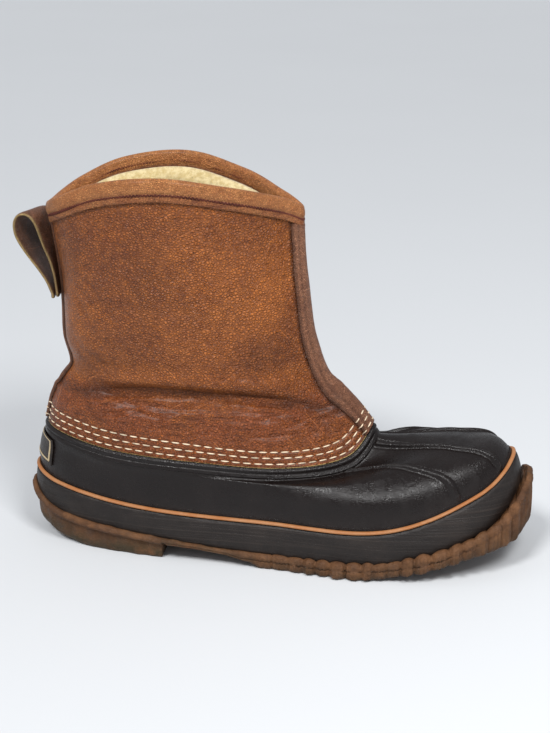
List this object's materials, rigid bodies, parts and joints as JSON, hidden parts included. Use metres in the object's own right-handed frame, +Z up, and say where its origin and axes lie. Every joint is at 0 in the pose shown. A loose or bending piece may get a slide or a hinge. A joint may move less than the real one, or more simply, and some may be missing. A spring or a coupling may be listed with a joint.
{
  "type": "duck boot",
  "caption": "Pull-on duck boot for the right foot: moulded rubber bottom on a lobed gum outsole, stitched leather shaft with a bound, dipping collar, and a pull loop at the back.",
  "frame": {"origin": "on the floor, at the middle of the heel's tread", "axes": "+X from heel to toe, +Y to the inner side of the foot, +Z up to the collar; the boot is for the right foot"},
  "size_m": [0.3055, 0.112, 0.2277],
  "materials": {
    "gum_rubber": "matt caramel gum rubber",
    "fleece": "cream fleece",
    "dark_rubber": "semi-gloss near-black brown rubber",
    "foxing_rubber": "matt charcoal rubber",
    "tan_rubber": "orange-tan rubber",
    "patch_rubber": "plain dark patch",
    "brown_leather": "oiled cognac leather",
    "binding_leather": "light tan binding leather",
    "strip_leather": "grey-brown leather",
    "loop_leather": "dark brown strap leather"
  },
  "bodies": {
    "root": {"outsole": "gum_rubber", "insole": "fleece", "rubber_bottom": "dark_rubber", "foxing": "foxing_rubber", "foxing_stripe": "tan_rubber", "heel_patch": "patch_rubber", "upper": "brown_leather", "collar_binding": "binding_leather", "front_strip": "strip_leather", "back_strip": "strip_leather", "pull_loop": "loop_leather"}
  },
  "joints": []
}
